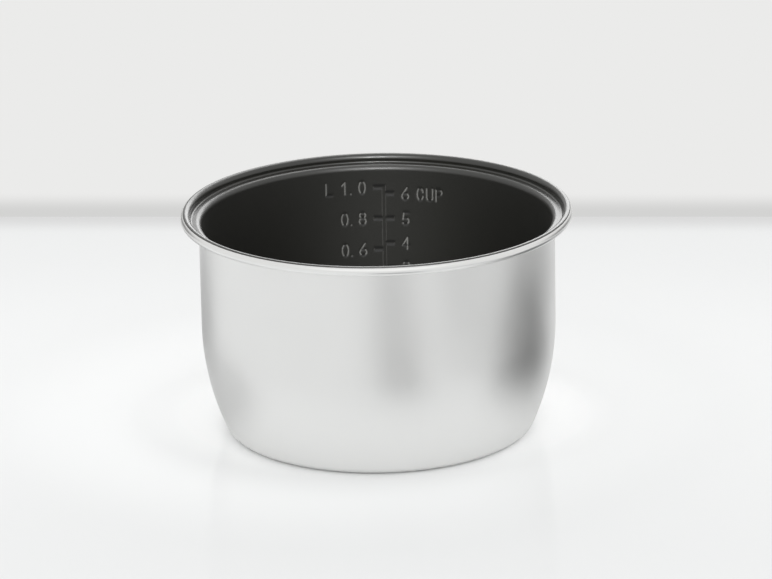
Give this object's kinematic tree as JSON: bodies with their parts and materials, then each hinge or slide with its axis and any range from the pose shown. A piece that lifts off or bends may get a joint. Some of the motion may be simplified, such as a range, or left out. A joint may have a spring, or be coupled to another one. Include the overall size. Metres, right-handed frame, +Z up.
{
  "type": "rice cooker inner pot",
  "caption": "Round deep-drawn aluminium rice cooker inner pot with a curled rim, a lid ledge, a black non-stick inside and a coined water-level scale.",
  "frame": {"origin": "centre of the flat base, on the surface the pot stands on", "axes": "+Z up along the pot's axis; +Y towards the part of the wall that carries the scale, +X to the right for someone who reads it"},
  "size_m": [0.1966, 0.1966, 0.114],
  "materials": {
    "satin_aluminium": "fine bead-blasted satin, bare",
    "nonstick_black": "satin black non-stick fluoropolymer coat"
  },
  "bodies": {
    "root": {"pot_shell": "satin_aluminium", "nonstick_coat": "nonstick_black"}
  },
  "joints": []
}
